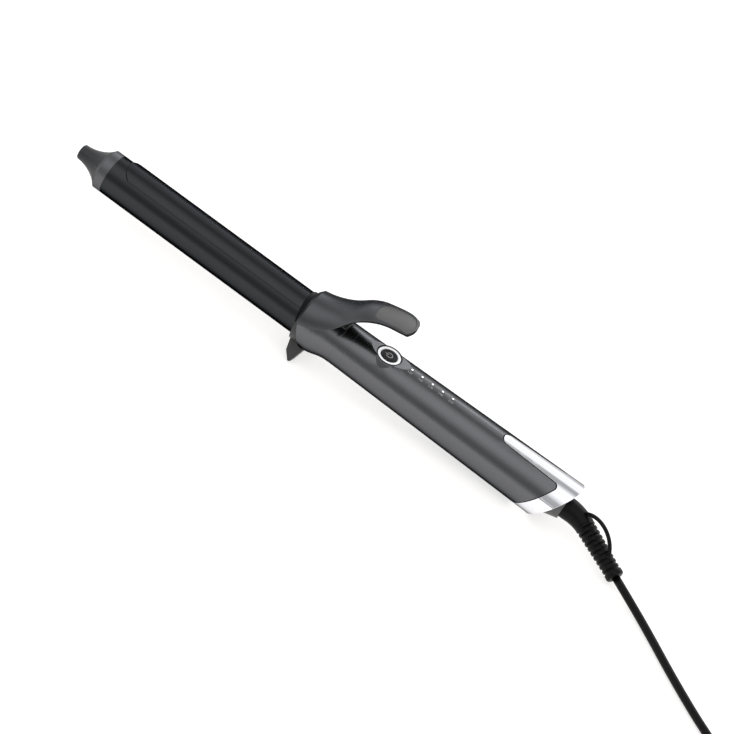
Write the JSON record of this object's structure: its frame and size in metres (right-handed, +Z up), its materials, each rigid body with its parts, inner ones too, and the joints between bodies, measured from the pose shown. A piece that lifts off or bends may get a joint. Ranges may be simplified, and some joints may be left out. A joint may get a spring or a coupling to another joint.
{
  "type": "curling iron",
  "caption": "Hair curling iron: heated barrel with a sprung clamp and thumb lever, round tapered handle with a power button, slanted bright end trim and a swivelling mains cord.",
  "frame": {"origin": "on the table, under the middle of the iron without its cord", "axes": "+X from the barrel's tip towards the cord, +Z up, the power button and the thumb lever on top"},
  "size_m": [0.599, 0.1311, 0.0592],
  "materials": {
    "barrel_coat": "satin ceramic-type coat",
    "ring_coat": "satin",
    "tip_plastic": "satin, heat-proof",
    "lever_plastic": "satin metallic paint",
    "stand_plastic": "satin",
    "black_plastic": "matte",
    "grip_plastic": "satin metallic grey",
    "cap_plastic": "satin",
    "bright_trim": "polished plate",
    "button_black": "gloss",
    "white_diffuser": "diffusing",
    "lens": "clear",
    "board_laminate": "solder mask",
    "steel": "zinc plated",
    "dark_steel": "blackened steel",
    "aluminium": "mill",
    "white_ceramic": "fired, unglazed",
    "wire_cover": "matte silicone",
    "contact_brass": "bright",
    "cord_rubber": "satin",
    "tie_plastic": "matte",
    "pin_brass": "nickel plated"
  },
  "bodies": {
    "iron": {"barrel": "barrel_coat", "tip_ring": "ring_coat", "cool_tip": "tip_plastic", "stand": "stand_plastic", "handle_neck": "grip_plastic", "handle_body": "grip_plastic", "end_cap": "cap_plastic", "end_trim": "bright_trim", "button_bezel": "button_black", "light_ring": "white_diffuser", "led_lenses": "lens", "led_chips": "white_diffuser", "tact_switch": "black_plastic", "circuit_board": "board_laminate", "board_parts": "black_plastic", "board_screws": "steel", "handle_screws": "steel", "tip_screw": "steel", "bracket_screws": "dark_steel", "keeper_screws": "steel", "hinge_pin": "dark_steel", "hinge_bracket": "dark_steel", "clamp_spring": "steel", "heater_carriers": "aluminium", "ceramic_heater": "white_ceramic", "thermistor": "white_ceramic", "thermal_fuse": "steel", "heater_wires": "wire_cover", "mains_wires": "wire_cover", "swivel_keeper": "black_plastic", "contact_springs": "contact_brass", "power_cord": "cord_rubber", "cord_coil": "cord_rubber", "cord_tie": "tie_plastic", "plug_body": "cord_rubber", "plug_pins": "pin_brass"},
    "clamp": {"clamp_blade": "barrel_coat", "thumb_lever": "lever_plastic", "lever_insulator": "black_plastic", "lever_rivets": "steel"},
    "button": {"power_button": "button_black"},
    "swivel": {"cord_boot": "cord_rubber", "slip_rings": "contact_brass", "bend_sleeve": "cord_rubber", "hang_loop": "cord_rubber"}
  },
  "joints": [
    {"name": "clamp_hinge", "type": "hinge", "parent": "iron", "child": "clamp", "pos_m": [0.00256, 0, 0.03756], "axis": [0, 1, 0], "range_deg": [0, 22], "stiffness_Nm_per_rad": 0.6, "springref_deg": -17.19, "deforming": ["clamp_spring"]},
    {"name": "button_press", "type": "slide", "parent": "iron", "child": "button", "axis": [-0.0439, 0, -0.999], "range_m": [0, 0.0007], "stiffness_N_per_m": 300, "springref_m": -0.001},
    {"name": "cord_swivel", "type": "hinge", "parent": "iron", "child": "swivel", "pos_m": [0.17771, 0, 0.01426], "axis": [-0.999, 0, 0.0438], "continuous": true, "deforming": ["power_cord"]}
  ]
}
